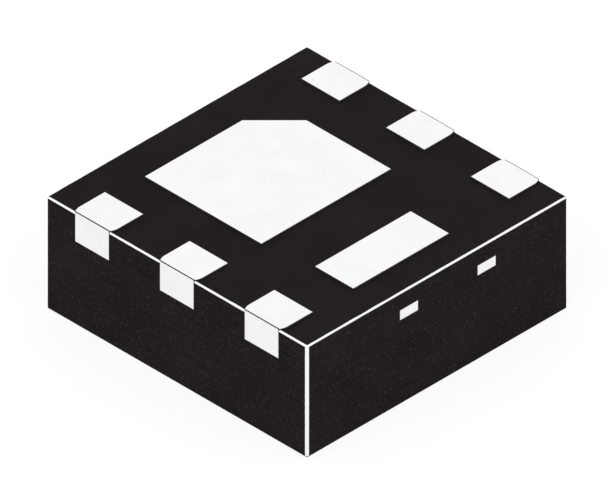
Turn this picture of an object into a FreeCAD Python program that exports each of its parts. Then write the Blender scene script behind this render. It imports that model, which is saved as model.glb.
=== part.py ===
# Power transistor in a leadless moulded package, two millimetres square, lying on its marked
# face with its solder pads up. Lengths are millimetres. X runs along the rows of leads, Y
# across them and Z from the marked face to the pads. The origin is the marked face's middle.
import FreeCAD, Part
import math
import os
import re

import Sketcher

SIZES = {
    # moulded body
    "body_length": 2.0,
    "body_width": 2.0,
    "mould_height": 0.74,
    "rim_bevel": 0.009,
    "dimple_radius": 0.1,
    "dimple_depth": 0.02,
    "dimple_inset": 0.28,
    # tin on whatever is soldered
    "tin_thickness": 0.01,
    # leads, three in a row along each side
    "lead_pitch": 0.65,
    "lead_width": 0.3,
    "lead_exposed": 0.25,
    "shoulder_narrowing": 0.0175,
    "shoulder_radius": 0.085,
    # copper frame, etched to a thin web wherever it isn't soldered
    "frame_thickness": 0.19,
    "etch_depth": 0.112,
    "tie_bar_width": 0.145,
    "tie_bar_thickness": 0.0715,
    "paddle_tie_spacing": 0.6,
    "source_tie_spacing": 0.5955,
    "source_tie_offset": 0.08125,
    "tie_margin": 0.01,
    # drain pad and the paddle that carries the die
    "drain_pad_length": 0.9,
    "drain_pad_width": 1.0,
    "drain_pad_chamfer": 0.25,
    "drain_pad_offset": 0.3,
    "paddle_overhang": 0.08,
    # source pad, its post, and the head of the gate lead
    "source_pad_length": 0.3,
    "source_pad_width": 0.74,
    "source_pad_offset": 0.075,
    "post_overhang": 0.09,
    "side_cover": 0.11,
    "gate_head_depth": 0.16,
    # silicon die, the solder behind it and the metal on its face
    "die_length": 0.82,
    "die_width": 1.04,
    "die_thickness": 0.15,
    "solder_thickness": 0.025,
    "solder_fillet": 0.02,
    "metal_thickness": 0.006,
    "metal_margin": 0.05,
    "metal_gap": 0.03,
    "gate_metal_size": 0.17,
    # formed copper clip from the source metal to the source post, and its solder
    "clip_thickness": 0.12,
    "clip_width": 0.66,
    "clip_offset": 0.1,
    "clip_bend": 0.04,
    "clip_corner": 0.05,
    "clip_die_clearance": 0.05,
    "clip_leg_run": 0.105,
    "clip_margin": 0.06,
    "clip_solder_thickness": 0.02,
    # silver that the gate wire is bonded to
    "silver_thickness": 0.006,
    "silver_margin": 0.02,
    # gate wire, with a ball on the die, a loop and a flattened foot
    "wire_diameter": 0.05,
    "ball_radius": 0.055,
    "ball_height": 0.036,
    "loop_height": 0.15,
    "neck_bend": 0.06,
    "knee_bend": 0.1,
    "knee_distance": 0.36,
    "foot_length": 0.12,
    "foot_width": 0.085,
    "foot_thickness": 0.014,
    "foot_offset": 0.08,
}

# Heights and places that follow from the sizes above
FRAME_FLOOR = "(mould_height - frame_thickness)"
WEB_THICKNESS = "(frame_thickness - etch_depth)"
TIE_FLOOR = "(mould_height - etch_depth - tie_bar_thickness)"
DIE_BACK = "(mould_height - frame_thickness - solder_thickness)"
DIE_FACE = "(mould_height - frame_thickness - solder_thickness - die_thickness)"
BOND_FACE = "(mould_height - frame_thickness - solder_thickness - die_thickness - metal_thickness)"
SILVER_FACE = "(mould_height - frame_thickness - silver_thickness)"
SILVER_DROP = "(solder_thickness + die_thickness + metal_thickness - silver_thickness)"
LEFT_COPPER = "(0 - body_length / 2 + tin_thickness)"
RIGHT_COPPER = "(body_length / 2 - tin_thickness)"
NEAR_SIDE = "(0 - body_width / 2)"
NEAR_COPPER = "(0 - body_width / 2 + tin_thickness)"
LEAD_HEEL = "(body_width / 2 - lead_exposed)"
PADDLE_LEFT = "(0 - drain_pad_offset - drain_pad_length / 2 - paddle_overhang)"
PADDLE_END = "(drain_pad_width / 2 + paddle_overhang)"
POST_LEFT = "(lead_pitch - source_pad_length / 2 - post_overhang)"
POST_RIGHT = "(body_length / 2 - side_cover)"
POST_NEAR = "(0 - source_pad_offset - source_pad_width / 2 - post_overhang)"
POST_FAR = "(source_tie_offset + source_tie_spacing / 2 + tie_bar_width / 2 + tie_margin)"
GATE_HEAD_NEAR = "(body_width / 2 - lead_exposed - gate_head_depth)"
DIE_LEFT = "(0 - drain_pad_offset - die_length / 2)"
DIE_RIGHT = "(die_length / 2 - drain_pad_offset)"
METAL_LEFT = "(0 - drain_pad_offset - die_length / 2 + metal_margin)"
METAL_RIGHT = "(die_length / 2 - drain_pad_offset - metal_margin)"
METAL_END = "(die_width / 2 - metal_margin)"
CLIP_UPPER = "(%s - clip_solder_thickness)" % BOND_FACE
CLIP_FOOT = "(%s - clip_solder_thickness)" % FRAME_FLOOR
CLIP_RISE = "(solder_thickness + die_thickness + metal_thickness)"
CLIP_LEFT = "(%s + clip_margin)" % METAL_LEFT
CLIP_KNEE = "(%s + clip_die_clearance)" % DIE_RIGHT
CLIP_NEAR = "(0 - clip_offset - clip_width / 2)"
CLIP_FAR = "(clip_width / 2 - clip_offset)"
CLIP_RIGHT = "(%s - clip_margin)" % POST_RIGHT
# Middle lines of the tie bars
PADDLE_TIES = ["(0 - paddle_tie_spacing / 2)", "(paddle_tie_spacing / 2)"]
SOURCE_TIES = ["(source_tie_offset - source_tie_spacing / 2)",
               "(source_tie_offset + source_tie_spacing / 2)"]

# Two places closer than this are the same place
NEARNESS = 1e-6

document = FreeCAD.newDocument("PowerTransistor")
sheet = document.addObject("Spreadsheet::Sheet", "Sizes")
for row, (size_name, size) in enumerate(SIZES.items(), 1):
    sheet.set("A%d" % row, size_name)
    sheet.set("B%d" % row, str(size))
    sheet.setAlias("B%d" % row, size_name)
document.recompute()


def bound(words):
    """An expression in which each size's name points at its cell in the sheet."""
    def cell(name):
        return "Sizes." + name[0] if name[0] in SIZES else name[0]
    return re.sub(r"[a-z][a-z_]*", cell, words)


def amount(words):
    """What an expression comes to now, as a plain number."""
    return float(sheet.evalExpression(bound(words)))


def minus(words):
    return "0 - " + words


def new_body(label):
    body = document.addObject("PartDesign::Body", label)
    body.Label = label
    return body


def new_sketch(body, name, plane="XY_Plane", offset=("", "", ""), turned=False):
    """A sketch on one of the body's own origin planes, moved by an offset given in words,
    and turned half round on its plane if asked."""
    sketch = body.newObject("Sketcher::SketchObject", name)
    support = next(part for part in body.Origin.OriginFeatures if part.Role == plane)
    sketch.AttachmentSupport = [(support, "")]
    sketch.MapMode = "FlatFace"
    if turned:
        half_round = FreeCAD.Rotation(FreeCAD.Vector(0, 0, 1), 180)
        sketch.AttachmentOffset = FreeCAD.Placement(FreeCAD.Vector(), half_round)
    for axis, words in zip("xyz", offset):
        if words:
            sketch.setExpression("AttachmentOffset.Base." + axis, bound(words))
    return sketch


def dimension(sketch, kind, where, words):
    """A dimension whose value follows the sheet."""
    number = sketch.addConstraint(Sketcher.Constraint(kind, *where, amount(words)))
    name = "%s%d" % (kind, number)
    sketch.renameConstraint(number, name)
    sketch.setExpression("Constraints." + name, bound(words))


def place(sketch, edge, end, across, up):
    """Holds one end of an edge at a place given in words."""
    dimension(sketch, "DistanceX", (-1, 1, edge, end), across)
    dimension(sketch, "DistanceY", (-1, 1, edge, end), up)


def arc_between(centre, start, end):
    """The arc about a centre that runs counter-clockwise from start to end."""
    first = math.atan2(start.y - centre.y, start.x - centre.x)
    last = math.atan2(end.y - centre.y, end.x - centre.x)
    if last < first:
        last += 2 * math.pi
    circle = Part.Circle(centre, FreeCAD.Vector(0, 0, 1), (start - centre).Length)
    return Part.ArcOfCircle(circle, first, last)


def bulge(start, end, radius):
    """The short counter-clockwise arc of a radius from start to end."""
    chord = end - start
    left = FreeCAD.Vector(-chord.y, chord.x, 0).normalize()
    rise = math.sqrt(radius ** 2 - chord.Length ** 2 / 4)
    return arc_between((start + end) / 2 + left * rise, start, end)


def loop(sketch, corners):
    """A closed counter-clockwise loop through corners given in words as (x, y), or as
    (x, y, radius) where an outward arc of that radius leads on to the next corner. Lines that
    run along an axis are held to it, and each corner gets only the dimensions it still needs."""
    start = sketch.GeometryCount
    places = [FreeCAD.Vector(amount(corner[0]), amount(corner[1]), 0) for corner in corners]
    for number, corner in enumerate(corners):
        here = places[number]
        following = places[(number + 1) % len(corners)]
        if len(corner) == 3:
            sketch.addGeometry(bulge(here, following, amount(corner[2])), False)
            dimension(sketch, "Radius", (start + number,), corner[2])
        else:
            sketch.addGeometry(Part.LineSegment(here, following), False)
    for number, corner in enumerate(corners):
        edge = start + number
        edge_before = start + (number - 1) % len(corners)
        before = corners[number - 1]
        straight = len(before) == 2
        sketch.addConstraint(Sketcher.Constraint("Coincident", edge_before, 2, edge, 1))
        if straight and before[0] == corner[0]:
            sketch.addConstraint(Sketcher.Constraint("Vertical", edge_before))
        else:
            dimension(sketch, "DistanceX", (-1, 1, edge, 1), corner[0])
        if straight and before[1] == corner[1]:
            sketch.addConstraint(Sketcher.Constraint("Horizontal", edge_before))
        else:
            dimension(sketch, "DistanceY", (-1, 1, edge, 1), corner[1])


def rectangle(left, right, near, far):
    return [(left, near), (right, near), (right, far), (left, far)]


def extrude(body, sketch, length, kind="PartDesign::Pad", backwards=False):
    """A pad or a pocket of a sketch, its length given in words."""
    feature = body.newObject(kind, sketch.Label + "_run")
    feature.Profile = sketch
    feature.Reversed = backwards
    feature.setExpression("Length", bound(length))
    return feature


def revolve(body, sketch, kind):
    """A full turn of a section about its sketch's upright axis, added or cut away."""
    feature = body.newObject(kind, sketch.Label + "_turned")
    feature.Profile = sketch
    feature.ReferenceAxis = (sketch, ["V_Axis"])
    feature.Angle = 360
    return feature


def edges_of(shape):
    return [("Edge%d" % number, edge) for number, edge in enumerate(shape.Edges, 1)]


def is_upright(edge):
    first, last = edge.Vertexes[0].Point, edge.Vertexes[-1].Point
    return abs(first.z - last.z) > abs(first.x - last.x) + abs(first.y - last.y)


def add_rounding(body, name, base, edge_names, radius):
    rounding = body.newObject("PartDesign::Fillet", name)
    rounding.Base = (base, edge_names)
    rounding.setExpression("Radius", bound(radius))
    return rounding


def edges_along_y(shape, stations):
    """Names of the straight edges that run along Y at one of some places on X."""
    found = []
    for name, edge in edges_of(shape):
        first, last = edge.Vertexes[0].Point, edge.Vertexes[-1].Point
        level = abs(first.x - last.x) < NEARNESS and abs(first.z - last.z) < NEARNESS
        if level and any(abs(first.x - station) < NEARNESS for station in stations):
            found.append(name)
    return found


def slab(body, name, corners, floor, height):
    """Adds to the body an upright slab with the given outline, floor and height."""
    sketch = new_sketch(body, name, offset=("", "", floor))
    loop(sketch, corners)
    return extrude(body, sketch, height)


def lead_slab(body, name, column, far_row, corners, floor, height):
    """A slab drawn about the middle line of the lead in a column (-1, 0 or 1) of the near or
    the far row. The far row is the near one turned half round."""
    sketch = new_sketch(body, name, offset=("%d * lead_pitch" % column, "", floor), turned=far_row)
    loop(sketch, corners)
    return extrude(body, sketch, height)


def lead_outline(*end_lines):
    """A near lead from its soldered side: square at the heel, straight sides, shoulders that
    round in to the narrower end. The ends of the shoulders come first in end_lines, then any
    line further out that the narrow end runs on to."""
    half = "lead_width / 2"
    end_half = "(lead_width / 2 - shoulder_narrowing)"
    rounding = "sqrt(2 * shoulder_radius * shoulder_narrowing - shoulder_narrowing ^ 2)"
    shoulder = end_lines[0] + " + " + rounding
    left = [(minus(half), minus(LEAD_HEEL)), (minus(half), shoulder, "shoulder_radius")]
    left += [(minus(end_half), line) for line in end_lines]
    right = [(end_half, line) for line in reversed(end_lines)]
    right[-1] += ("shoulder_radius",)
    return left + right + [(half, shoulder), (half, minus(LEAD_HEEL))]


def add_lead(body, column, far_row, bridge_end=""):
    """A lead at the frame's full thickness, with the etched bridge from its heel to the part
    of the frame that it belongs to."""
    name = "%s_lead_%d" % ("far" if far_row else "near", column + 2)
    lead_slab(body, name, column, far_row, lead_outline(NEAR_COPPER), FRAME_FLOOR, "frame_thickness")
    if bridge_end:
        bridge = rectangle("0 - lead_width / 2", "lead_width / 2", minus(LEAD_HEEL), bridge_end)
        lead_slab(body, name + "_bridge", column, far_row, bridge, FRAME_FLOOR, WEB_THICKNESS)


def add_tie_bar(body, name, left, right, middle):
    """A tie bar, thinner than the web and level with its etched face."""
    near = middle + " - tie_bar_width / 2"
    far = middle + " + tie_bar_width / 2"
    return slab(body, name, rectangle(left, right, near, far), TIE_FLOOR, "tie_bar_thickness")


def drain_pad_outline(overhang):
    """The drain pad with the cut corner beside the first lead, grown by an overhang."""
    left = "0 - drain_pad_offset - drain_pad_length / 2 - " + overhang
    right = "drain_pad_length / 2 - drain_pad_offset + " + overhang
    near = "0 - drain_pad_width / 2 - " + overhang
    far = "drain_pad_width / 2 + " + overhang
    cut_right = left + " + drain_pad_chamfer"
    cut_near = far + " - drain_pad_chamfer"
    return [(left, near), (right, near), (right, far), (cut_right, far), (left, cut_near)]


def source_pad_outline():
    return rectangle("lead_pitch - source_pad_length / 2", "lead_pitch + source_pad_length / 2",
                     "0 - source_pad_offset - source_pad_width / 2",
                     "source_pad_width / 2 - source_pad_offset")


def drain_paddle():
    """Paddle that carries the die, with the four leads and two tie bars etched with it."""
    body = new_body("drain_paddle")
    slab(body, "web", drain_pad_outline("paddle_overhang"), FRAME_FLOOR, WEB_THICKNESS)
    slab(body, "soldered_pad", drain_pad_outline("0"), FRAME_FLOOR, "frame_thickness")
    for far_row in (False, True):
        for column in (-1, 0):
            add_lead(body, column, far_row, minus(PADDLE_END))
    for number, middle in enumerate(PADDLE_TIES, 1):
        add_tie_bar(body, "tie_bar_%d" % number, LEFT_COPPER, PADDLE_LEFT, middle)
    return body


def source_post():
    """Post that the source clip is soldered to, with its lead and the two tie bars of its side."""
    body = new_body("source_post")
    web = rectangle(POST_LEFT, POST_RIGHT, POST_NEAR, POST_FAR)
    slab(body, "web", web, FRAME_FLOOR, WEB_THICKNESS)
    slab(body, "soldered_pad", source_pad_outline(), FRAME_FLOOR, "frame_thickness")
    add_lead(body, 1, False, POST_NEAR)
    for number, middle in enumerate(SOURCE_TIES, 1):
        add_tie_bar(body, "tie_bar_%d" % number, POST_RIGHT, RIGHT_COPPER, middle)
    return body


def gate_lead():
    """Gate lead with an etched head that locks it in the mould."""
    body = new_body("gate_lead")
    head = rectangle(POST_LEFT, POST_RIGHT, GATE_HEAD_NEAR, LEAD_HEEL)
    slab(body, "head", head, FRAME_FLOOR, WEB_THICKNESS)
    add_lead(body, 1, True)
    return body


def lead_plating(number):
    """Tin on one lead, an L over its soldered side and its flank. Leads are numbered round the
    package, from the far row's left end to the right and back along the near row."""
    far_row = number <= 3
    column = number - 2 if far_row else 5 - number
    body = new_body("lead_plating_%d" % number)
    underside = lead_outline(NEAR_COPPER, NEAR_SIDE)
    lead_slab(body, "underside", column, far_row, underside, "mould_height", "tin_thickness")
    end_half = "(lead_width / 2 - shoulder_narrowing)"
    flank = rectangle(minus(end_half), end_half, NEAR_SIDE, NEAR_COPPER)
    lead_slab(body, "flank", column, far_row, flank, FRAME_FLOOR, "frame_thickness")
    return body


def pad_plating(label, corners):
    """Tin on one of the two large pads."""
    body = new_body(label)
    slab(body, "tin", corners, "mould_height", "tin_thickness")
    return body


def tie_plating(number, left, right, middle):
    """Tin on the cut end of one tie bar, flush with the side of the mould."""
    body = new_body("tie_plating_%d" % number)
    add_tie_bar(body, "tin", left, right, middle)
    return body


def gate_silver():
    """Silver on the inner face of the gate lead's head."""
    body = new_body("gate_silver")
    spot = rectangle(POST_LEFT + " + silver_margin", POST_RIGHT + " - silver_margin",
                     GATE_HEAD_NEAR + " + silver_margin", LEAD_HEEL)
    slab(body, "silver", spot, SILVER_FACE, "silver_thickness")
    return body


def die_attach():
    """Solder between paddle and die, with a fillet that spreads on the paddle."""
    body = new_body("die_attach")
    sections = []
    for name, floor, spread in (("on_die", DIE_BACK, "0"), ("on_paddle", FRAME_FLOOR, "solder_fillet")):
        sketch = new_sketch(body, name, offset=(minus("drain_pad_offset"), "", floor))
        half_length = "(die_length / 2 + " + spread + ")"
        half_width = "(die_width / 2 + " + spread + ")"
        loop(sketch, rectangle(minus(half_length), half_length, minus(half_width), half_width))
        sections.append(sketch)
    loft = body.newObject("PartDesign::AdditiveLoft", "solder")
    loft.Profile = sections[0]
    loft.Sections = sections[1:]
    loft.Ruled = True
    return body


def silicon_die():
    body = new_body("silicon_die")
    outline = rectangle(DIE_LEFT, DIE_RIGHT, "0 - die_width / 2", "die_width / 2")
    slab(body, "silicon", outline, DIE_FACE, "die_thickness")
    return body


def source_metal():
    """Aluminium over the die's face, stepped back from the gate's corner."""
    body = new_body("source_metal")
    step_left = METAL_RIGHT + " - gate_metal_size - metal_gap"
    step_near = METAL_END + " - gate_metal_size - metal_gap"
    corners = [(METAL_LEFT, minus(METAL_END)), (METAL_RIGHT, minus(METAL_END)),
               (METAL_RIGHT, step_near), (step_left, step_near), (step_left, METAL_END),
               (METAL_LEFT, METAL_END)]
    slab(body, "metal", corners, BOND_FACE, "metal_thickness")
    return body


def gate_metal():
    """Square of aluminium in the die's corner nearest the gate lead."""
    body = new_body("gate_metal")
    corners = rectangle(METAL_RIGHT + " - gate_metal_size", METAL_RIGHT,
                        METAL_END + " - gate_metal_size", METAL_END)
    slab(body, "metal", corners, BOND_FACE, "metal_thickness")
    return body


def ball_profile(sketch):
    """Half section of a squashed ball, right of the wire's axis: a sphere's middle zone between
    the flat on the die and the flat that the wire leaves."""
    flat = "sqrt(ball_radius ^ 2 - ball_height ^ 2 / 4)"
    corners = [("0", minus("ball_height")), (flat, minus("ball_height"), "ball_radius"),
               (flat, "0"), ("0", "0")]
    loop(sketch, corners)


def wire_route(sketch, span):
    """Middle line of the gate wire: off the ball, round the neck, level past the die's edge,
    then round the knee and straight on into the foot. The wire hangs below the die."""
    knee = FreeCAD.Vector(amount(span + " - knee_distance"), -amount("loop_height"), 0)
    end = FreeCAD.Vector(amount(span), amount(SILVER_DROP + " + wire_diameter / 2"), 0)
    neck_bend = amount("neck_bend")
    knee_bend = amount("knee_bend")
    top = FreeCAD.Vector(0, -amount("ball_height") / 2, 0)
    neck = FreeCAD.Vector(0, knee.y + neck_bend, 0)
    level = FreeCAD.Vector(neck_bend, knee.y, 0)
    neck_centre = FreeCAD.Vector(neck_bend, neck.y, 0)
    knee_centre = knee + FreeCAD.Vector(0, knee_bend, 0)
    # the run to the foot leaves the knee's circle along its tangent through the end
    to_end = end - knee_centre
    slope = math.atan2(to_end.y, to_end.x) + math.asin(knee_bend / to_end.Length)
    off_knee = knee_centre + FreeCAD.Vector(math.sin(slope), -math.cos(slope), 0) * knee_bend
    sketch.addGeometry([Part.LineSegment(top, neck), arc_between(neck_centre, neck, level),
                        Part.LineSegment(level, knee), arc_between(knee_centre, knee, off_knee),
                        Part.LineSegment(off_knee, end)], False)
    for edge in range(4):
        sketch.addConstraint(Sketcher.Constraint("Tangent", edge, 2, edge + 1, 1))
    sketch.addConstraint(Sketcher.Constraint("Vertical", 0))
    sketch.addConstraint(Sketcher.Constraint("Horizontal", 2))
    place(sketch, 0, 1, "0", "0 - ball_height / 2")
    place(sketch, 2, 2, span + " - knee_distance", minus("loop_height"))
    place(sketch, 4, 2, span, SILVER_DROP + " + wire_diameter / 2")
    dimension(sketch, "Radius", (1,), "neck_bend")
    dimension(sketch, "Radius", (3,), "knee_bend")


def gate_wire():
    """Gate wire, drawn along its own X from the ball on the die to the middle of the foot on
    the silver, then set at the ball's place and turned towards the foot's."""
    ball = "%s - gate_metal_size / 2" % METAL_RIGHT, "%s - gate_metal_size / 2" % METAL_END
    foot = "lead_pitch - foot_offset", "(%s + silver_margin + %s) / 2" % (GATE_HEAD_NEAR, LEAD_HEEL)
    across = "(%s - (%s))" % (foot[0], ball[0])
    along = "(%s - (%s))" % (foot[1], ball[1])
    span = "hypot(%s; %s)" % (across, along)
    body = new_body("gate_wire")

    ball_section = new_sketch(body, "ball_section", "XZ_Plane")
    ball_profile(ball_section)
    revolve(body, ball_section, "PartDesign::Revolution")

    route = new_sketch(body, "route", "XZ_Plane")
    wire_route(route, span)
    section = new_sketch(body, "wire_section", offset=("", "", "0 - ball_height / 2"))
    circle = Part.Circle(FreeCAD.Vector(), FreeCAD.Vector(0, 0, 1), amount("wire_diameter / 2"))
    section.addGeometry(circle, False)
    section.addConstraint(Sketcher.Constraint("Coincident", 0, 3, -1, 1))
    dimension(section, "Radius", (0,), "wire_diameter / 2")
    document.recompute()
    pipe = body.newObject("PartDesign::AdditivePipe", "wire")
    pipe.Profile = section
    pipe.Spine = (route, ["Edge%d" % edge for edge in range(1, route.GeometryCount + 1)])

    heel = span + " - foot_length / 2"
    toe = span + " + foot_length / 2"
    flat = new_sketch(body, "foot", offset=("", "", SILVER_DROP))
    loop(flat, [(heel, "0 - wire_diameter / 2"), (toe, "0 - foot_width / 2", "foot_width"),
                (toe, "foot_width / 2"), (heel, "wire_diameter / 2")])
    extrude(body, flat, "foot_thickness", backwards=True)

    waste = new_sketch(body, "beyond_silver", offset=("", "", SILVER_DROP))
    loop(waste, rectangle(span + " - foot_length", span + " + foot_length",
                          minus("foot_width"), "foot_width"))
    extrude(body, waste, "2 * wire_diameter", "PartDesign::Pocket", backwards=True)

    spot = "vector(%s; %s; %s)" % (ball[0], ball[1], BOND_FACE)
    heading = "rotation(vector(0; 0; 1); atan2(%s; %s))" % (along, across)
    body.setExpression("Placement", bound("placement(%s; %s)" % (spot, heading)))
    return body


def source_clip():
    """Strip of copper that lies along the die's source metal, climbs beside the die and lies
    along the source post, bent to one inside radius and rounded at its corners."""
    body = new_body("source_clip")
    # at both bends the outer face turns further along than the inner one, by the thickness
    # times the tangent of half the slope
    further = "clip_thickness * (hypot(clip_leg_run; %s) - clip_leg_run) / %s" % (CLIP_RISE, CLIP_RISE)
    hip = CLIP_KNEE + " + clip_leg_run"
    lower = CLIP_UPPER + " - clip_thickness"
    foot_lower = CLIP_FOOT + " - clip_thickness"
    section = new_sketch(body, "section", "XZ_Plane", ("", "", "clip_offset"))
    loop(section, [(CLIP_LEFT, lower), (CLIP_KNEE + " + " + further, lower),
                   (hip + " + " + further, foot_lower), (CLIP_RIGHT, foot_lower),
                   (CLIP_RIGHT, CLIP_FOOT), (hip, CLIP_FOOT), (CLIP_KNEE, CLIP_UPPER),
                   (CLIP_LEFT, CLIP_UPPER)])
    strip = extrude(body, section, "clip_width")
    strip.Midplane = True
    document.recompute()

    inside = [amount(CLIP_KNEE), amount(hip + " + " + further)]
    outside = [amount(CLIP_KNEE + " + " + further), amount(hip)]
    inner = add_rounding(body, "inside_bends", strip, edges_along_y(strip.Shape, inside), "clip_bend")
    document.recompute()
    outer = add_rounding(body, "outside_bends", inner, edges_along_y(inner.Shape, outside),
                         "clip_bend + clip_thickness")
    document.recompute()
    ends = [amount(CLIP_LEFT), amount(CLIP_RIGHT)]
    corners = [name for name, edge in edges_of(outer.Shape)
               if is_upright(edge) and any(abs(edge.Vertexes[0].X - end) < NEARNESS for end in ends)]
    add_rounding(body, "corners", outer, corners, "clip_corner")
    return body


def clip_solder(label, left, right, floor):
    """Solder film between the clip and what it lies along."""
    body = new_body(label)
    slab(body, "solder", rectangle(left, right, CLIP_NEAR, CLIP_FAR), floor, "clip_solder_thickness")
    return body


def moulding_block():
    """The sawn block of epoxy with nothing moulded in yet: square sides, a fine bevel round the
    soldered side and a shallow dish beside the first lead on the marked one."""
    body = new_body("moulding_block")
    half_length = "body_length / 2"
    half_width = "body_width / 2"
    block = slab(body, "block", rectangle(minus(half_length), half_length, minus(half_width), half_width),
                 "0", "mould_height")
    document.recompute()
    top = amount("mould_height")
    rims = [name for name, edge in edges_of(block.Shape)
            if min(corner.Z for corner in edge.Vertexes) > top - NEARNESS]
    bevel = body.newObject("PartDesign::Chamfer", "rims")
    bevel.Base = (block, rims)
    bevel.setExpression("Size", bound("rim_bevel"))

    dish = new_sketch(body, "dimple", "XZ_Plane",
                      ("dimple_inset - body_length / 2", "", "dimple_inset - body_width / 2"))
    radius = "(dimple_radius ^ 2 + dimple_depth ^ 2) / (2 * dimple_depth)"
    loop(dish, [("0", "0"), ("dimple_radius", "0", radius), ("0", "dimple_depth")])
    revolve(body, dish, "PartDesign::Groove")
    return body


def mould_body(block, inserts):
    """The block less everything that it is moulded round."""
    moulded_in = document.addObject("Part::MultiFuse", "moulded_in")
    moulded_in.Shapes = inserts
    body = document.addObject("Part::Cut", "mould_body")
    body.Label = "mould_body"
    body.Base = block
    body.Tool = moulded_in
    return body


inserts = [drain_paddle(), source_post(), gate_lead()]
inserts += [lead_plating(number) for number in range(1, 7)]
inserts.append(pad_plating("drain_pad_plating", drain_pad_outline("0")))
inserts.append(pad_plating("source_pad_plating", source_pad_outline()))
for tie, tie_middle in enumerate(SOURCE_TIES, 1):
    inserts.append(tie_plating(tie, RIGHT_COPPER, "body_length / 2", tie_middle))
for tie, tie_middle in enumerate(PADDLE_TIES, 3):
    inserts.append(tie_plating(tie, "0 - body_length / 2", LEFT_COPPER, tie_middle))
inserts += [die_attach(), silicon_die(), source_metal(), gate_metal(), source_clip()]
inserts.append(clip_solder("clip_solder_on_die", CLIP_LEFT, METAL_RIGHT, CLIP_UPPER))
inserts.append(clip_solder("clip_solder_on_post", POST_LEFT, CLIP_RIGHT, CLIP_FOOT))
inserts += [gate_silver(), gate_wire()]
pieces = [mould_body(moulding_block(), inserts)] + inserts
document.recompute()

for item in document.Objects:
    if "Invalid" in item.State or "Error" in item.State:
        raise RuntimeError("%s failed: %s" % (item.Label, item.State))
os.makedirs("parts", exist_ok=True)
for piece in pieces:
    if piece.Shape.isNull() or not piece.Shape.isValid() or len(piece.Shape.Solids) != 1:
        raise RuntimeError("%s isn't one sound solid" % piece.Label)
for piece in pieces:
    piece.Shape.exportStep(os.path.join("parts", piece.Label + ".step"))
    print("%-20s %.6f mm3" % (piece.Label, piece.Shape.Volume))
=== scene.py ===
# %% [markdown]
# # A power transistor two millimetres wide, pads up
# The real part is a block of black moulding compound with a silicon chip inside, and tin-plated
# copper on its underside and at its sawn sides. It lies on its marked face, so that the pads show.
# The imported CAD model comes in first and stays fixed: it says where everything is. This lesson
# then gives the part what a plain solid hasn't got: pale edges, partly worn and partly a painted
# highlight, crowned tin, saw marks and a floor.

# %% Load the frame
import math

import bpy
import numpy as np
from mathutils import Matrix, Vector


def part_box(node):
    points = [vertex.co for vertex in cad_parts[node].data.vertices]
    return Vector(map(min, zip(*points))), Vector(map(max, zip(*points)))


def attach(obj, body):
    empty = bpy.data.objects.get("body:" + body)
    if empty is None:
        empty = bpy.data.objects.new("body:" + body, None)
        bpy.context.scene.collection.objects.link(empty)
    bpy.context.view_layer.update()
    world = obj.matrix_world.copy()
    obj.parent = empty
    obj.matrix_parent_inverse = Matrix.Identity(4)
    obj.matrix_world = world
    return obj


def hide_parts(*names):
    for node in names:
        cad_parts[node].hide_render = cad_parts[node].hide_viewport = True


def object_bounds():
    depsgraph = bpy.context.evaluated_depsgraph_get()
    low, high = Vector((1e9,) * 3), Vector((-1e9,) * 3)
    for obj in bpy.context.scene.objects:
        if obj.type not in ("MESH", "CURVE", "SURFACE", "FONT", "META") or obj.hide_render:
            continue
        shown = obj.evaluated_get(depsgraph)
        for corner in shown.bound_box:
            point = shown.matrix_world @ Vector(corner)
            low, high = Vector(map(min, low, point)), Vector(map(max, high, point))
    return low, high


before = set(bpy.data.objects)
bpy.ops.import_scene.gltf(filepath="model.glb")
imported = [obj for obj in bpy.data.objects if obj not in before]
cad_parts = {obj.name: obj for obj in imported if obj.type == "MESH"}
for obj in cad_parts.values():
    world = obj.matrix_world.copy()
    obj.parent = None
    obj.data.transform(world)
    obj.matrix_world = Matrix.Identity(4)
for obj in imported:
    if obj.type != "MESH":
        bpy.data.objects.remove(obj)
cad_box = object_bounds()
print("CAD box in mm:", [[round(1000 * x, 4) for x in corner] for corner in cad_box])

# %% [markdown]
# Everything here is in metres, and this part is tiny, so two short names keep the lengths
# readable. The large sizes are read from the frame's own boxes instead of being typed again.

# %% Name the units and read the frame's sizes
MM = 0.001
MICRON = 0.000001
mould_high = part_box("mould_body")[1]
WALL = mould_high.x
PAD_FACE = mould_high.z
TIN_FACE = cad_box[1].z
TIN_DEPTH = TIN_FACE - PAD_FACE
print("tin is %.1f microns deep" % (TIN_DEPTH / MICRON))

# %% [markdown]
# ## One helper for every new skin
# A tube of points can be stored as rows of a grid: one direction goes around, the other goes
# along. Joining neighbours gives quads, and one extra point closes each end. Blender's own
# primitives could be cut and joined instead, but a grid keeps the faces in order, its normals
# never turn inside out, and it can carry numbers such as wear from row to row.

# %% Turn a grid of points into a closed piece
SHARP_ANGLE = math.radians(40)


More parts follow.
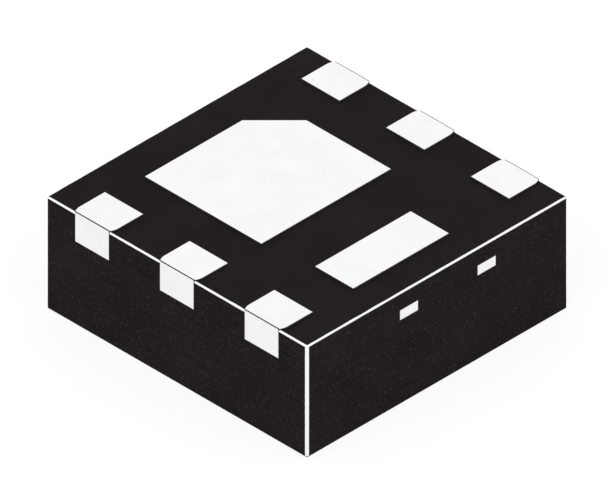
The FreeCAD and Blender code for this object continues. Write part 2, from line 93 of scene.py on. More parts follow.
def closed_piece(name, grid, start, end, marks):
    """A closed skin over grid[row, around]: each point is joined to the next one around and to the
    same place in the next row, and start and end are the single points that close the two ends.
    marks are named numbers, one per grid point, which the materials read."""
    rows, around = grid.shape[:2]
    number = np.arange(rows * around).reshape(rows, around)
    ahead = np.roll(number, -1, axis=1)
    quads = np.stack([number[:-1], ahead[:-1], ahead[1:], number[1:]], axis=-1).reshape(-1, 4)
    first = np.stack([ahead[0], number[0], np.full(around, rows * around)], axis=-1)
    last = np.stack([number[-1], ahead[-1], np.full(around, rows * around + 1)], axis=-1)
    points = np.vstack([grid.reshape(-1, 3), start, end])
    mesh = bpy.data.meshes.new(name)
    mesh.from_pydata(points.tolist(), [], quads.tolist() + first.tolist() + last.tolist())
    for mark, values in marks.items():
        flat = np.concatenate([values.ravel(), values[0, :1], values[-1, :1]]).astype(np.float32)
        mesh.attributes.new(mark, "FLOAT", "POINT").data.foreach_set("value", flat)
    mesh.shade_smooth()
    mesh.set_sharp_from_angle(angle=SHARP_ANGLE)
    piece = bpy.data.objects.new(name, mesh)
    bpy.context.scene.collection.objects.link(piece)
    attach(piece, "root")
    print("%-18s %6d faces" % (name, len(mesh.polygons)))
    return piece


# %% [markdown]
# ## The path round the block
# The block was sawn out of a strip, so its upright edges start sharp and then wear round. The
# path is a square whose corners are quarter circles. One corner and the two sides that meet at
# it face the camera: they are painted pale over the whole edge, partly as wear from handling and
# partly as a painted highlight, and the others only over their far half. Extra points sit just
# beside each corner, so that smooth shading and the pale paint stop where the flat begins and
# don't smear across it.

# %% Lay out the path round the block
SET_BACK = 2.5 * MICRON
FRONT_CORNER = 14.7 * MICRON
OTHER_CORNERS = 10.5 * MICRON
# The way the camera's corner faces. Edges turned this way are painted pale, partly as wear and
# partly as a painted highlight.
HANDLED_AND_HIGHLIT_SIDE = np.array([1, -1]) / math.sqrt(2)
CORNER_STEPS = 9
SIDE_STEPS = 90
BESIDE = np.array([1.5, 6, 18]) * MICRON


def sawn_path():
    """Points, outward directions and corner marks of a square path, anticlockwise from the front
    corner. On a corner: centre + radius (cos a, sin a). Between corners: straight and even."""
    half = WALL - SET_BACK
    ways = [(1, -1), (1, 1), (-1, 1), (-1, -1)]
    radii = [FRONT_CORNER, OTHER_CORNERS, OTHER_CORNERS, OTHER_CORNERS]
    points = []
    outward = []
    worn_and_highlit = []
    for turn, (way, radius) in enumerate(zip(ways, radii)):
        angle = np.radians(np.linspace(-90, 0, CORNER_STEPS) + 90 * turn)
        ring = np.column_stack([np.cos(angle), np.sin(angle)])
        points.append((half - radius) * np.array(way) + radius * ring)
        outward.append(ring)
        # Pale paint on the corners, partly wear and partly a painted highlight: all of the front
        # corner, and the half of each other corner that is turned away from the camera.
        worn_and_highlit.append(np.ones(CORNER_STEPS) if turn == 0 else (ring @ HANDLED_AND_HIGHLIT_SIDE < 0).astype(float))
        next_turn = (turn + 1) % 4
        after = half * 2 - radius - radii[next_turn]
        middle = np.linspace(BESIDE[-1] * 2, after - BESIDE[-1] * 2, SIDE_STEPS)
        run = np.concatenate([BESIDE, middle, after - BESIDE[::-1]])
        along = np.array([-ring[-1][1], ring[-1][0]])
        points.append(points[-1][-1] + run[:, None] * along)
        outward.append(np.tile(ring[-1], (len(run), 1)))
        worn_and_highlit.append(np.zeros(len(run)))
    return np.vstack(points), np.vstack(outward), np.concatenate(worn_and_highlit)


path, outward, corner_wear_and_highlight = sawn_path()
print("path has", len(path), "points")

# %% [markdown]
# ## The profile from pole to pole
# The block is one skin that starts at the bottom of the dimple on the marked face, crosses that
# face, rounds the lower edge, climbs the side, rounds the pad-side edge and ends in the middle of
# the pad side. A bevel modifier would give every edge one width. Working the profile out lets
# the edges differ and lets the wall wander a little, as a saw leaves it.

# %% Size the edges, the dimple and the saw's wander
RIM = 8 * MICRON
FOOT = 8 * MICRON
HALF_WAY = math.radians(50)
DIMPLE_CENTRE = np.array([-0.72, 0.72]) * MM
DIMPLE_RADIUS = 0.1 * MM
DIMPLE_DEPTH = 0.02 * MM
WANDER = 0.9 * MICRON
round_steps = np.radians(np.linspace(0, 90, 7))
dice = np.random.default_rng(7)


def ripple(where, waves, count):
    """A smooth wavy number between about -1 and 1 over where, 0 to 1: the mean of count sines with
    up to that many waves, each with its own fixed start."""
    turns = dice.integers(1, waves, count)
    starts = dice.uniform(0, 2 * math.pi, count)
    return np.sin(2 * math.pi * where[..., None] * turns + starts).sum(-1) / math.sqrt(count)


# %% [markdown]
# The rows below are spaced by share: of the dimple's radius, of the way from its lip to the edge,
# and of the way from the edge to the middle. Rows crowd where the surface bends and thin out where
# it is flat. LEAN is how far the saw's waves drift along a side from its foot to its top. The pale
# edge mark is partly wear and partly a painted highlight: 0.5 makes it pale only in patches and 1
# pale all along, as on the pad-side edges that face the camera's corner by at least the share
# given below.

# %% Space the block's rows
RING_SHARES = np.linspace(0.15, 1.12, 14)
FLAT_SHARE = 0.62
SLOPE_SHARE = 0.5
EVENNESS = 0.5
MARKED_FACE_SHARES = [0.02, 0.06, 0.14, 0.26, 0.4, 0.55, 0.7, 0.83, 0.93, 0.98, 0.995]
PAD_SIDE_SHARES = [0.0015, 0.006, 0.02, 0.06, 0.14, 0.26, 0.4, 0.55, 0.7]
WALL_ROWS = 44
WALL_MARGIN = 6 * MICRON
UNEVENNESS = 0.1
LEAN = 0.7
FOOT_WEAR = 0.5
HANDLED_AND_HIGHLIT_FROM = 0.3


# %% Work out the block's rows
def flat_row(ring, height):
    """A ring of plan points lifted to one height."""
    return np.column_stack([ring, np.full(len(ring), height)])


def mould_rows():
    """Rows of the block from the dimple up to the pad side, and two marks: pale edges, partly wear
    and partly painted highlight, and sawn. The dimple is a cosine step: depth (1 + cos) / 2. Seen
    from it the far corners are crowded, so its rings point half way between the path's directions
    and an even
    fan. Rounded edges are quarter circles: inset r (1 - sin a), height r (1 - cos a)."""
    share = np.linspace(0, 1, len(path), endpoint=False)
    uneven = 1 + UNEVENNESS * ripple(share, waves=60, count=9)[:, None]
    rows = []
    wear_and_highlight = []
    sawn = []

    def add(row, worn_and_highlit, cut):
        rows.append(row)
        wear_and_highlight.append(np.broadcast_to(worn_and_highlit, len(path)))
        sawn.append(np.full(len(path), float(cut)))

    foot_ring = path - FOOT * outward
    ways = foot_ring - DIMPLE_CENTRE
    turn = np.unwrap(np.arctan2(ways[:, 1], ways[:, 0]))
    turn = turn + EVENNESS * (turn[0] + 2 * math.pi * share - turn)
    ways = np.column_stack([np.cos(turn), np.sin(turn)])
    flat = FLAT_SHARE * DIMPLE_RADIUS
    for radius in RING_SHARES * DIMPLE_RADIUS:
        step = np.clip((radius - flat) / (SLOPE_SHARE * DIMPLE_RADIUS), 0, 1)
        depth = DIMPLE_DEPTH * (1 + math.cos(math.pi * step)) / 2
        add(flat_row(DIMPLE_CENTRE + radius * ways, depth), 0, 0)
    lip_ring = DIMPLE_CENTRE + RING_SHARES[-1] * DIMPLE_RADIUS * ways
    for part in MARKED_FACE_SHARES:
        add(flat_row(lip_ring + part * (foot_ring - lip_ring), 0), 0, 0)
    for angle in round_steps:
        ring = path - FOOT * (1 - math.sin(angle)) * outward
        height = FOOT * (1 - math.cos(angle))
        add(flat_row(ring, height), FOOT_WEAR * (angle < HALF_WAY), 0)
    low = FOOT + BESIDE[0]
    high = PAD_FACE - RIM - BESIDE[0]
    middle = np.linspace(low + WALL_MARGIN, high - WALL_MARGIN, WALL_ROWS)
    for height in [low, *middle, high]:
        up = np.full(len(path), height / PAD_FACE)
        level = ripple(share + LEAN * up, waves=9, count=5)
        wave = WANDER * (1 + level * ripple(up, waves=14, count=5)) / 2
        wave = wave * (1 - corner_wear_and_highlight)
        # The front upright edge is painted pale all along, partly as wear and partly as a painted
        # highlight.
        add(flat_row(path - wave[:, None] * outward, height), corner_wear_and_highlight, 1)
    for angle in round_steps:
        inset = RIM * (1 - math.cos(angle)) * uneven
        drop = RIM * (1 - math.sin(angle)) * uneven[:, 0]
        row = np.column_stack([path - inset * outward, PAD_FACE - drop])
        # Pad-side edges turned to the camera are painted pale all over, partly as wear and partly
        # as a painted highlight; the others only on the half next to the side.
        handled_and_highlit = outward @ HANDLED_AND_HIGHLIT_SIDE > HANDLED_AND_HIGHLIT_FROM
        add(row, np.where(handled_and_highlit, 1.0, float(angle < HALF_WAY)), 0)
    rim_ring = path - RIM * uneven * outward
    for part in PAD_SIDE_SHARES:
        add(flat_row(rim_ring * (1 - part), PAD_FACE), 0, 0)
    marks = {"wear_and_highlight": np.array(wear_and_highlight), "sawn": np.array(sawn)}
    return np.array(rows), marks


# %% Make the block
rows, marks = mould_rows()
dimple_bottom = [*DIMPLE_CENTRE, DIMPLE_DEPTH]
mould = closed_piece("mould_skin", rows, dimple_bottom, [0, 0, PAD_FACE], marks)
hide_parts("mould_body")

# %% [markdown]
# ## Tin plates
# Plated tin is thickest in the middle of a pad and rolls over at its rim. Every plate here is one
# profile carried along a path: a wall, a small rounded lip, a gently crowned top, and the same
# again down the other side. The path of a lead's plate runs along the underside and then folds
# down the sawn side. A solidified outline would do for a flat pad, but it couldn't fold or crown.

# %% The profile of a plate
LIP = 5 * MICRON
CROWN = 1.2 * MICRON
LIP_STEPS = np.radians(np.linspace(0, 90, 6))
INNER = np.array([0.012, 0.04, 0.1, 0.2, 0.32, 0.44, 0.56, 0.68, 0.8, 0.9, 0.96, 0.988])
LEVEL = 0.999


def plate_grid(stations, left, right, dips):
    """Rows (across, along, up) of a plate, and its rim: 1 on the wall and lip, else 0. Along is
    each station of the path; across goes from left to right of that station. Up is the edge
    height, rounded at each lip by a quarter circle r (1 - cos a), less the station's dip, plus a
    crown that falls to nothing at the rim: crown (1 - aside^2) (1 - ahead^2), where aside and
    ahead go from -1 at one rim to 1 at the other."""
    edge = TIN_DEPTH - CROWN
    turn_in = LIP * (1 - np.cos(LIP_STEPS))
    turn_up = edge - LIP * (1 - np.sin(LIP_STEPS))
    length = stations[-1]
    first = turn_in[:-1]
    along = np.concatenate([first, stations[1:-1], length - first[::-1]])
    limit = np.concatenate([turn_up[:-1], np.full(len(stations) - 2, edge), turn_up[-2::-1]])
    near = np.interp(along, stations, left)[:, None]
    far = np.interp(along, stations, right)[:, None]
    dip = np.interp(along, stations, dips)[:, None]
    inner = near + LIP + (far - near - 2 * LIP) * INNER
    across = np.hstack([near, near + turn_in, inner, far - turn_in[::-1], far])
    side = np.concatenate([[0], turn_up, np.full(len(INNER), edge), turn_up[::-1], [0]])
    up = np.minimum(side, limit[:, None])
    rim = (up < LEVEL * edge).astype(float)
    aside = (2 * across - near - far) / (far - near)
    ahead = (2 * along[:, None] - length) / length
    crown = CROWN * (1 - aside**2) * (1 - ahead**2)
    up = up + crown * (side > 0) - dip * (side > 0)
    return np.stack([across, along[:, None] + 0 * across, up], axis=-1), rim


# %% [markdown]
# The big drain pad has one corner cut off, and the source pad is a plain bar. Both lie flat, so
# across, along and up are simply X, Y and Z.

# %% Make the two flat pads
PAD_CUT = 0.25 * MM
STATION_GAP = 25 * MICRON
FEWEST_STATIONS = 8
NANOMETRE_DIGITS = 9


def evenly(length, stops):
    """Stations from 0 to length about one gap apart, with the stops and both ends among them. The
    others keep at least the lip's radius from an end, because the lip has rows of its own."""
    plain = np.linspace(0, length, max(FEWEST_STATIONS, round(length / STATION_GAP)))
    beside = [LIP, length - LIP]
    every = np.unique(np.round(np.concatenate([plain, stops, beside]), NANOMETRE_DIGITS))
    return every[(every == 0) | (every >= LIP) & (every <= length - LIP) | (every == every[-1])]


def flat_pad(name, node, cut):
    """A pad that lies on the mould: left edge straight, then in by one for each one along."""
    low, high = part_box(node)
    length = high.y - low.y
    stations = evenly(length, [length - cut])
    left = low.x + np.maximum(0, stations - (length - cut))
    right = np.full_like(stations, high.x)
    grid, rim = plate_grid(stations, left, right, np.zeros_like(stations))
    grid = grid + np.array([0, low.y, PAD_FACE])
    # The rim mark darkens the plate's wall and lip: a painted reflection of the black mould.
    marks = {"bare_and_painted_shade": rim, "flank": 0 * rim}
    ends = [[(low.x + high.x) / 2, y, PAD_FACE + TIN_DEPTH / 2] for y in (low.y, high.y)]
    piece = closed_piece(name, grid, ends[0], ends[1], marks)
    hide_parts(node)
    return piece


tin_pieces = [flat_pad("drain_pad_tin", "drain_pad_plating", PAD_CUT)]
tin_pieces.append(flat_pad("source_pad_tin", "source_pad_plating", 0))

# %% [markdown]
# Each lead narrows in an arc before it reaches the edge, and its plate goes on down the sawn
# side. The underside was plated before the saw and the side after it, so the two layers meet in
# a hairline of bare, darkened copper. That hairline is a real groove here. The bare mark tells
# the material where to darken: in the groove, partly bare copper and partly painted shade, and
# round each plate's rim, where the dark is a painted reflection of the black mould beside it.

# %% Make the six folded lead plates
NARROWING = 0.0175 * MM
SHOULDER = 0.085 * MM
ARC_REACH = 0.054 * MM
ARC_STATIONS = 9
SEAM = 4 * MICRON
SEAM_DEPTH = 3.5 * MICRON
SEAM_INSET = 2 * MICRON
ACROSS_SEAM = np.array([-1.3, -1, -0.5, 0, 0.5, 1, 1.3])
JUST_OVER = 1.01


def half_width(along, fold, widest):
    """Half the lead's width: full, then in along an arc r (1 - cos a) that ends at the fold."""
    sweep = math.acos(1 - NARROWING / SHOULDER)
    start = fold - SHOULDER * math.sin(sweep)
    reach = np.clip((along - start) / SHOULDER, 0, math.sin(sweep))
    return widest - SHOULDER * (1 - np.sqrt(1 - reach**2))


def folded_lead(number):
    """A lead's plate: flat for the underside's length, then folded down the side. Each half is
    stretched by its height over its own length, so that both meet at the corner's mitre."""
    low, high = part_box("lead_plating_%d" % number)
    side = 1 if low.y > 0 else -1
    inner_end = min(abs(low.y), abs(high.y))
    under = WALL - TIN_DEPTH - inner_end
    flank = PAD_FACE - low.z
    arc = np.linspace(under - ARC_REACH, under, ARC_STATIONS)
    seam = under - SEAM_INSET
    groove = seam + ACROSS_SEAM * SEAM
    stations = evenly(under + flank, np.concatenate([arc, groove]))
    half = half_width(stations, under, (high.x - low.x) / 2)
    dips = SEAM_DEPTH * np.clip(1 - np.abs(stations - seam) / SEAM, 0, 1)
    grid, rim = plate_grid(stations, -half, half, dips)
    across, along, up = grid[..., 0], grid[..., 1], grid[..., 2]
    folded = along > under
    out = np.where(folded, WALL - TIN_DEPTH + up, inner_end + along * (1 + up / under))
    rise = np.where(folded, PAD_FACE + up - (along - under) * (1 + up / flank), PAD_FACE + up)
    middle = (low.x + high.x) / 2
    points = np.stack([middle + side * across, side * out, rise], axis=-1)
    in_seam = (np.abs(along - seam) < JUST_OVER * SEAM).astype(float)
    # Dark marks: a painted reflection on the rim, and painted shade over bare copper in the seam.
    marks = {"bare_and_painted_shade": np.maximum(rim, in_seam), "flank": folded.astype(float)}
    start = [middle, side * inner_end, PAD_FACE + TIN_DEPTH / 2]
    end = [middle, side * (WALL - TIN_DEPTH / 2), low.z]
    piece = closed_piece("lead_tin_%d" % number, points, start, end, marks)
    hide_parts("lead_plating_%d" % number)
    return piece


tin_pieces += [folded_lead(number) for number in range(1, 7)]

# %% [markdown]
# On two opposite sides, a pair of bars tied the copper to the strip until the saw cut them: one
# pair held the drain's copper and the other the source's. Their cut ends show as small bright
# windows in the side walls.


# %% Make the four tie bar ends
def tie_end(number):
    """A small plate whose across is along Y, whose along is Z and whose up is out of the wall."""
    low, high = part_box("tie_plating_%d" % number)
    side = 1 if low.x > 0 else -1
    half = (high.y - low.y) / 2
    stations = evenly(high.z - low.z, [])
    even = np.full_like(stations, half)
    grid, rim = plate_grid(stations, -even, even, np.zeros_like(stations))
    across, along, up = grid[..., 0], grid[..., 1], grid[..., 2]
    middle = (low.y + high.y) / 2
    out = side * (WALL - TIN_DEPTH + up)
    points = np.stack([out, middle + side * across, low.z + along], axis=-1)
    # The rim mark darkens the plate's wall and lip: a painted reflection of the black mould.
    marks = {"bare_and_painted_shade": rim, "flank": 0 * rim + 1}
    ends = [[side * (WALL - TIN_DEPTH / 2), middle, z] for z in (low.z, high.z)]
    piece = closed_piece("tie_end_tin_%d" % number, points, ends[0], ends[1], marks)
    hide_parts("tie_plating_%d" % number)
    return piece


tin_pieces += [tie_end(number) for number in range(1, 5)]

# %% [markdown]
# ## Writing materials as sums
# A node tree is easier to read as arithmetic. The class below wraps a socket, so that an
# expression such as 1 - mask adds the Math node for it. Any other node comes from one method
# that takes the node's type, its settings and its sockets.


# %% Wrap a socket
class Wire:
    """One output socket of a material's nodes. Arithmetic on wires adds Math nodes."""

    def __init__(self, tree, socket=None):
        self.tree = tree
        self.socket = socket

    def node(self, kind, settings=None, sockets=None, output=0):
        """Adds a node of that type: settings first, then each socket's value or link."""
        made = self.tree.nodes.new(kind)
        for name, value in (settings or {}).items():
            setattr(made, name, value)
        for name, value in (sockets or {}).items():
            if isinstance(value, Wire):
                self.tree.links.new(value.socket, made.inputs[name])
            else:
                made.inputs[name].default_value = value
        return Wire(self.tree, made.outputs[output])

    def math(self, operation, first, second):
        return self.node("ShaderNodeMath", {"operation": operation}, {0: first, 1: second})

    def __add__(self, other):
        return self.math("ADD", self, other)

    def __radd__(self, other):
        return self.math("ADD", other, self)

    def __sub__(self, other):
        return self.math("SUBTRACT", self, other)

    def __rsub__(self, other):
        return self.math("SUBTRACT", other, self)

    def __mul__(self, other):
        return self.math("MULTIPLY", self, other)

    def __rmul__(self, other):
        return self.math("MULTIPLY", other, self)

    def step(self, low, high):
        """0 below low, 1 above high and smooth between."""
        sockets = {"Value": self, "From Min": low, "From Max": high}
        return self.node("ShaderNodeMapRange", {"interpolation_type": "SMOOTHSTEP"}, sockets)

    def between(self, first, second):
        """The first colour where this wire is 0 and the second where it is 1. A Mix node has a
        set of sockets for each kind of value under the same names, so its colours go by number."""
        sockets = {0: self, 6: first, 7: second}
        return self.node("ShaderNodeMix", {"data_type": "RGBA"}, sockets, output=2)


# %% [markdown]
# Patterns read Object coordinates, which are metres. A Mapping node turns them into millimetres,
# so a noise of scale 50 has grains of a fiftieth of a millimetre. Stretching the same mapping
# along the cut turns round grains into saw streaks. In the sums that follow, each factor says how
# much its pattern counts, and the two numbers of a step say where its mask begins and ends.


# %% Helpers that every finish shares
def new_finish(name):
    """An empty material, its tree's first wire and its Principled shader."""
    material = bpy.data.materials.new(name)
    material.use_nodes = True
    shader = material.node_tree.nodes["Principled BSDF"]
    return material, Wire(material.node_tree), shader


def millimetres(wire, stretch=(1, 1, 1)):
    """Object coordinates in millimetres, each axis multiplied by its stretch."""
    place = wire.node("ShaderNodeTexCoord", output="Object")
    scale = [x / MM for x in stretch]
    return wire.node("ShaderNodeMapping", sockets={"Vector": place, "Scale": scale})


def noise(place, scale, detail=3.0, roughness=0.55):
    """Cloudy noise from 0 to 1 with that many grains to the millimetre."""
    sockets = {"Vector": place, "Scale": scale, "Detail": detail, "Roughness": roughness}
    return place.node("ShaderNodeTexNoise", sockets=sockets)


def cells(place, scale):
    """Distance to the nearest of scattered points, scale of them to the millimetre."""
    return place.node("ShaderNodeTexVoronoi", sockets={"Vector": place, "Scale": scale})


def mark(wire, name):
    """A number that the mesh carries at each point."""
    return wire.node("ShaderNodeAttribute", {"attribute_name": name}, output="Fac")


def connect(shader, sockets):
    """Sets or links each named socket of the shader."""
    for name, value in sockets.items():
        if isinstance(value, Wire):
            value.tree.links.new(value.socket, shader.inputs[name])
        else:
            shader.inputs[name].default_value = value


def relief(height, depth):
    """A bumped normal whose hills are depth metres high."""
    sockets = {"Height": height, "Distance": depth, "Strength": 1.0}
    return height.node("ShaderNodeBump", sockets=sockets)


# %% [markdown]
# ## Moulding compound
# The compound is black resin packed with tiny glass beads. A moulded face keeps a thin resin
# skin, dull and finely pitted. The saw cuts through beads and resin alike, so the sides show pale
# specks and level streaks. A chalky white line is painted along the edges: partly resin rubbed off
# so that the beads show, and partly a painted highlight on the edges that face the camera. The
# edge and sawn marks come from the mesh, so the finish follows the shape.

# %% Finish the moulding
RESIN = (0.0068, 0.0044, 0.005, 1)
RESIN_PALE = (0.0145, 0.0108, 0.0115, 1)
BEAD = (0.034, 0.031, 0.03, 1)
# Near white for the edge line: partly worn resin, partly a painted highlight.
CHALK_AND_HIGHLIGHT = (0.95, 0.95, 0.945, 1)
GRAINS = 70
CLOUDS = 3.5
BEADS = 52
BEAD_PATCHES = 33
PALE_EDGE_PATCHES = 26
SAW_STRETCH = (1.5, 1.5, 75)
PIT_DEPTH = 1.6 * MICRON
DULL_SHEEN = 0.06

moulding, wire, shader = new_finish("moulding compound")
place = millimetres(wire)
grain = noise(place, GRAINS)
clouds = noise(place, CLOUDS)
streaks = noise(millimetres(wire, SAW_STRETCH), 1.0, detail=4.0, roughness=0.65)
sawn = mark(wire, "sawn")
wear_and_highlight = mark(wire, "wear_and_highlight")
beads = 1 - cells(place, BEADS).step(0.14, 0.34)
beads = beads * noise(place, BEAD_PATCHES).step(0.36, 0.6) * (0.2 + 0.8 * sawn)
# The pale edge mask: partly rubbed-off resin, partly a painted highlight, broken into patches by
# noise.
rubbed_and_highlit = (wear_and_highlight + 0.5 * noise(place, PALE_EDGE_PATCHES) - 0.22).step(0.5, 0.62)
shade = 0.5 * clouds + 0.3 * grain + sawn * (0.7 * streaks - 0.3)
colour = beads.between(shade.step(0.2, 0.75).between(RESIN, RESIN_PALE), BEAD)
dullness = 0.6 + 0.14 * grain + 0.1 * sawn * streaks + 0.12 * rubbed_and_highlit
bumps = 0.8 * grain + 0.35 * beads + sawn * 1.1 * streaks
connect(shader, {
    "Base Color": rubbed_and_highlit.between(colour, CHALK_AND_HIGHLIGHT),
    "Roughness": dullness,
    "Normal": relief(bumps, PIT_DEPTH),
    "Specular IOR Level": DULL_SHEEN,
})
mould.data.materials.append(moulding)
print("moulding has", len(moulding.node_tree.nodes), "nodes")

# %% [markdown]
# ## Matte tin
# Plated tin is a close mat of crystals a few microns across: pale, soft and slightly uneven, with
# no mirror shine. The sawn sides were plated over saw marks and keep a trace of them. At each
# plate's rim and in the groove, the bare mark brings a dark hairline: on the rim a painted
# reflection of the black mould, and in the groove painted shade over bare copper.

# %% Finish the tin
TIN_PALE = (0.985, 0.985, 0.98, 1)
TIN_GREY = (0.91, 0.91, 0.91, 1)
# Dark colour for the painted rim reflection and the painted shade in the seam groove.
HAIRLINE = (0.02, 0.016, 0.016, 1)
CRYSTALS = 95
HAZE = 6
FINE_GRAINS = 60
SMEAR_STRETCH = (2.5, 2.5, 90)
CRYSTAL_DEPTH = 0.7 * MICRON

tin, wire, shader = new_finish("matte tin")
place = millimetres(wire)
crystals = cells(place, CRYSTALS)
haze = noise(place, HAZE, detail=4.0)
fine = noise(place, FINE_GRAINS)
smear = noise(millimetres(wire, SMEAR_STRETCH), 1.0, detail=3.0, roughness=0.6)
smear = smear * mark(wire, "flank")
# Painted darkening: a reflection of the black mould on each rim, and shade over bare copper in the
# seam.
bare_and_painted_shade = mark(wire, "bare_and_painted_shade").step(0.4, 0.6)
tone = 0.55 * haze + 0.35 * fine + 0.25 * crystals + 0.08 * smear
metal = tone.step(0.25, 0.85).between(TIN_PALE, TIN_GREY)
connect(shader, {
    "Base Color": bare_and_painted_shade.between(metal, HAIRLINE),
    "Metallic": 1 - 0.9 * bare_and_painted_shade,
    "Roughness": 0.32 + 0.14 * fine + 0.06 * smear,
    "Normal": relief(crystals + 0.8 * fine + 1.2 * smear, CRYSTAL_DEPTH),
})
for piece in tin_pieces:
    piece.data.materials.append(tin)
print("tin is on", len(tin_pieces), "pieces")

# %% [markdown]
# ## The metals and the chip inside
# The mould hides these, but a cut-away or an exported model shows them, so each gets its own
# finish. They keep the CAD's own meshes: their shapes are right, and only a material is missing.
# One recipe serves all five, because they differ only in colours, grain size and gloss.


# %% Write one recipe for the sealed pieces
def plain_metal(name, dark, pale, scale, roughness, depth, metallic=1.0):
    """Metal that drifts between two colours over grains of a given scale, with fine relief."""
    material, wire, shader = new_finish(name)
    place = millimetres(wire)
    grains = cells(place, scale)
    drift = noise(place, scale / 9, detail=4.0)
    connect(shader, {
        "Base Color": (0.7 * drift + 0.4 * grains).step(0.2, 0.8).between(dark, pale),
        "Roughness": roughness + 0.18 * drift,
        "Metallic": metallic,
        "Normal": relief(grains + 1.5 * noise(place, scale * 2), depth),
    })
    return material


# %% Finish the sealed pieces
inner_finishes = {
    "copper": plain_metal(
        "etched copper", dark=(0.5, 0.17, 0.09, 1), pale=(0.83, 0.4, 0.25, 1),
        scale=45, roughness=0.3, depth=1.2 * MICRON),
    "silver": plain_metal(
        "plated silver", dark=(0.7, 0.69, 0.66, 1), pale=(0.92, 0.91, 0.88, 1),
        scale=80, roughness=0.28, depth=0.6 * MICRON),
    "solder": plain_metal(
        "soft solder", dark=(0.32, 0.32, 0.33, 1), pale=(0.62, 0.62, 0.61, 1),
        scale=22, roughness=0.34, depth=1.6 * MICRON),
    "silicon": plain_metal(
        "sawn silicon", dark=(0.05, 0.055, 0.07, 1), pale=(0.12, 0.125, 0.14, 1),
        scale=60, roughness=0.22, depth=0.4 * MICRON, metallic=0.4),
    "die_metal": plain_metal(
        "die aluminium", dark=(0.6, 0.61, 0.62, 1), pale=(0.86, 0.86, 0.85, 1),
        scale=120, roughness=0.24, depth=0.3 * MICRON),
}
inner_nodes = {
    "copper": ["drain_paddle", "source_post", "gate_lead", "gate_wire", "source_clip"],
    "silver": ["gate_silver"],
    "solder": ["die_attach", "clip_solder_on_die", "clip_solder_on_post"],
    "silicon": ["silicon_die"],
    "die_metal": ["source_metal", "gate_metal"],
}
for finish, names in inner_nodes.items():
    for name in names:
        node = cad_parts[name]
        node.data.materials.clear()
        node.data.materials.append(inner_finishes[finish])
print("finished", sum(len(names) for names in inner_nodes.values()), "sealed pieces")

# %% [markdown]
# ## A white studio
# The picture has a pure white ground. More light would only wash out the part, so the floor and
# the sky turn white for the camera's own rays and for reflections, and keep a plain level for
# everything else. The floor stays partly a lit surface, so a faint shadow still ties the part
# to it.

# %% Lay the floor
FLOOR_HALF = 60 * MM
FLOOR_DROP = 0.5 * MICRON
corners = [(-1, -1), (1, -1), (1, 1), (-1, 1)]
floor_mesh = bpy.data.meshes.new("floor")
floor_points = [(FLOOR_HALF * x, FLOOR_HALF * y, -FLOOR_DROP) for x, y in corners]
floor_mesh.from_pydata(floor_points, [], [(0, 1, 2, 3)])
floor = bpy.data.objects.new("floor", floor_mesh)
bpy.context.scene.collection.objects.link(floor)
print("floor reaches %.0f mm each way" % (FLOOR_HALF / MM))


# %% Turn it white for the camera
def seen_directly(wire):
    """1 for rays from the camera, off gloss or through glass, and 0 for all other light."""
    kinds = [wire.node("ShaderNodeLightPath", output=name) for name in
             ("Is Camera Ray", "Is Glossy Ray", "Is Transmission Ray")]
    return wire.math("MINIMUM", kinds[0] + kinds[1] + kinds[2], 1.0)


FLOOR_SHOWN_WHITE = 0.78
FLOOR_GLOW = 1.08
PAPER = (0.8, 0.8, 0.8, 1)
PAPER_PALE = (0.84, 0.84, 0.84, 1)
ground, wire, shader = new_finish("pale floor")
connect(shader, {
    "Base Color": noise(millimetres(wire), 0.4).between(PAPER, PAPER_PALE),
    "Roughness": 0.9,
    "Specular IOR Level": 0.0,
})
glow = wire.node("ShaderNodeEmission", sockets={"Color": (1, 1, 1, 1), "Strength": FLOOR_GLOW})
lit = Wire(wire.tree, shader.outputs[0])
shown = FLOOR_SHOWN_WHITE * seen_directly(wire)
both = wire.node("ShaderNodeMixShader", sockets={0: shown, 1: lit, 2: glow})
output = ground.node_tree.nodes["Material Output"]
ground.node_tree.links.new(both.socket, output.inputs["Surface"])
floor_mesh.materials.append(ground)
print("floor shows", FLOOR_SHOWN_WHITE, "of its own white to the camera")

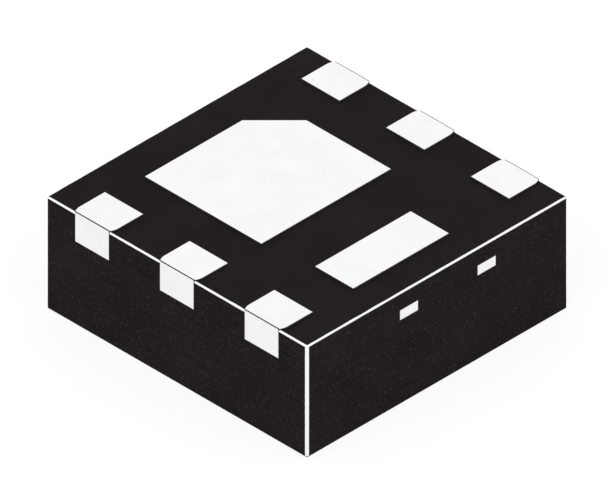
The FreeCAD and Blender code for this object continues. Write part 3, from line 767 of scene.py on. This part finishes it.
# %% Light the sky
SKY_LEVEL = 0.74
world = bpy.data.worlds.new("studio")
world.use_nodes = True
bpy.context.scene.world = world
sky = Wire(world.node_tree)
level = SKY_LEVEL + (1 - SKY_LEVEL) * seen_directly(sky)
background = world.node_tree.nodes["Background"]
background.inputs["Color"].default_value = (1, 1, 1, 1)
world.node_tree.links.new(level.socket, background.inputs["Strength"])
print("sky lights the part at", SKY_LEVEL)

# %% [markdown]
# Lamps with a position would need sizes and powers for a scene two millimetres wide. Suns have
# neither: a strength of pi lights a white surface to 1 at any scale, and a wide angle makes them
# as soft as a large panel. They don't show in gloss, so the tin mirrors only the white studio and
# never burns out.


# %% Hang two soft suns
def soft_sun(name, towards, strength, spread):
    """A sun that shines from that direction, as wide as spread degrees."""
    lamp = bpy.data.lights.new(name, "SUN")
    lamp.energy = strength
    lamp.angle = math.radians(spread)
    holder = bpy.data.objects.new(name, lamp)
    holder.rotation_mode = "QUATERNION"
    holder.rotation_quaternion = Vector(towards).to_track_quat("Z", "Y")
    holder.visible_glossy = False
    bpy.context.scene.collection.objects.link(holder)
    print("%s sun of strength %.2f, %d degrees wide" % (name, strength, spread))


soft_sun("key", (0.15, -0.95, 1.0), 0.8, 50)
soft_sun("fill", (1.0, 0.2, 0.9), 0.5, 60)

# %% [markdown]
# ## The camera
# The picture is an isometric drawing: the three axes are equally foreshortened and parallel edges
# stay parallel. So the camera is orthographic and looks along the cube's diagonal.

# %% Place the camera
VIEW_WIDTH = 3.335 * MM
SHIFT_RIGHT = 2.7 * MICRON
CAMERA_DISTANCE = 30 * MM
back = Vector((1, -1, 1)).normalized()
right = Vector((1, 1, 0)).normalized()
camera = bpy.data.cameras.new("camera")
camera.type = "ORTHO"
camera.ortho_scale = VIEW_WIDTH
camera.clip_start = 1 * MM
camera.clip_end = 1
holder = bpy.data.objects.new("camera", camera)
middle = (cad_box[0] + cad_box[1]) / 2
holder.location = middle + right * SHIFT_RIGHT + back * CAMERA_DISTANCE
holder.rotation_mode = "QUATERNION"
holder.rotation_quaternion = back.to_track_quat("Z", "Y")
bpy.context.scene.collection.objects.link(holder)
bpy.context.scene.camera = holder
bpy.context.scene.view_settings.view_transform = "Standard"
print("camera sees %.3f mm across" % (VIEW_WIDTH / MM))
